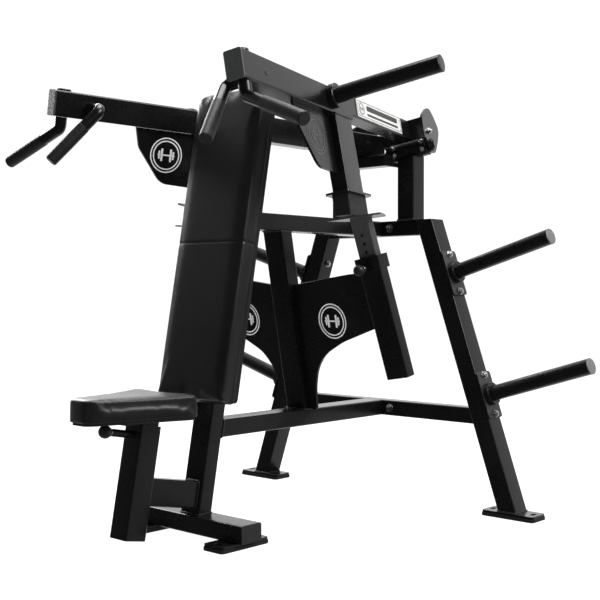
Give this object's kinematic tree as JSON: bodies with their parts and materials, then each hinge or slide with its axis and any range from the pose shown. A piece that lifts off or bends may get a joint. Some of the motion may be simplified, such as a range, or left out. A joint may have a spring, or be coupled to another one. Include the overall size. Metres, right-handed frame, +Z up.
{
  "type": "shoulder press machine",
  "caption": "Plate-loaded shoulder press with pivoting press arms, adjustable arm stops, storage horns, a fixed back pad and a sliding seat.",
  "frame": {"origin": "centre of the footprint box, on the floor under the feet", "axes": "+X towards the user's left hand, the user faces -Y, +Z up"},
  "size_m": [1.5896, 1.3354, 1.3264],
  "materials": {
    "powder_coat": "satin black powder coat",
    "vinyl": "smooth black upholstery vinyl",
    "board": "black painted plywood",
    "rubber": "matt black rubber",
    "grey_plastic": "dark grey moulded plug",
    "pale_plate": "pale plain plate",
    "zinc": "zinc plated"
  },
  "bodies": {
    "frame": {"front_cross_tube": "powder_coat", "front_foot_left": "rubber", "front_foot_right": "rubber", "rear_foot_left": "rubber", "rear_foot_right": "rubber", "rear_leg_left": "powder_coat", "rear_leg_right": "powder_coat", "upper_crossbar": "powder_coat", "lower_crossbar": "powder_coat", "main_upright": "powder_coat", "lower_beam": "powder_coat", "upper_beam": "powder_coat", "top_beam": "powder_coat", "pivot_bridge": "powder_coat", "centre_tube": "powder_coat", "wing_plate_left": "powder_coat", "wing_plate_right": "powder_coat", "stop_sleeve_left": "powder_coat", "stop_sleeve_right": "powder_coat", "storage_horn_upper_left": "powder_coat", "storage_horn_lower_left": "powder_coat", "storage_horn_upper_right": "powder_coat", "storage_horn_lower_right": "powder_coat", "seat_post": "powder_coat", "connecting_tube": "powder_coat", "back_board": "board", "back_cushion": "vinyl", "pivot_housing_left": "powder_coat", "pivot_housing_right": "powder_coat", "rear_post_left": "powder_coat", "rear_post_right": "powder_coat"},
    "left_arm": {"arm_tube_left": "powder_coat", "arm_end_cap_left": "grey_plastic", "arm_down_tube_left": "powder_coat", "arm_gusset_left": "powder_coat", "arm_bumper_left": "rubber", "arm_horn_left": "powder_coat", "outer_handle_left": "rubber", "inner_handle_left": "rubber", "arm_yoke_left": "powder_coat", "name_plate_left": "pale_plate"},
    "right_arm": {"arm_tube_right": "powder_coat", "arm_end_cap_right": "grey_plastic", "arm_down_tube_right": "powder_coat", "arm_gusset_right": "powder_coat", "arm_bumper_right": "rubber", "arm_horn_right": "powder_coat", "outer_handle_right": "rubber", "inner_handle_right": "rubber", "arm_yoke_right": "powder_coat", "name_plate_right": "pale_plate"},
    "seat": {"seat_stem": "powder_coat", "seat_board": "board", "seat_cushion": "vinyl"},
    "seat_pin": {"seat_pin": "rubber"},
    "stop_left": {"stop_post_left": "powder_coat"},
    "stop_pin_left": {"stop_pin_left": "zinc"},
    "stop_right": {"stop_post_right": "powder_coat"},
    "stop_pin_right": {"stop_pin_right": "zinc"}
  },
  "joints": [
    {"name": "left_arm_press", "type": "hinge", "parent": "frame", "child": "left_arm", "pos_m": [0.142, 0.565, 1.163], "axis": [-0.9547, -0.2354, -0.1822], "range_deg": [0, 45]},
    {"name": "right_arm_press", "type": "hinge", "parent": "frame", "child": "right_arm", "pos_m": [-0.142, 0.565, 1.163], "axis": [-0.9547, 0.2354, 0.1822], "range_deg": [0, 45]},
    {"name": "seat_height", "type": "slide", "parent": "frame", "child": "seat", "axis": [0, 0.1814, 0.9834], "range_m": [0, 0.15]},
    {"name": "seat_pin_pull", "type": "slide", "parent": "frame", "child": "seat_pin", "axis": [0, -0.9834, 0.1814], "range_m": [0, 0.012], "stiffness_N_per_m": 500},
    {"name": "stop_height_left", "type": "slide", "parent": "frame", "child": "stop_left", "axis": [0.1616, 0.1912, -0.9682], "range_m": [0, 0.075]},
    {"name": "stop_pin_pull_left", "type": "slide", "parent": "frame", "child": "stop_pin_left", "axis": [0, -0.9811, -0.1937], "range_m": [0, 0.012], "stiffness_N_per_m": 500},
    {"name": "stop_height_right", "type": "slide", "parent": "frame", "child": "stop_right", "axis": [-0.1616, 0.1912, -0.9682], "range_m": [0, 0.075]},
    {"name": "stop_pin_pull_right", "type": "slide", "parent": "frame", "child": "stop_pin_right", "axis": [0, -0.9811, -0.1937], "range_m": [0, 0.012], "stiffness_N_per_m": 500}
  ]
}
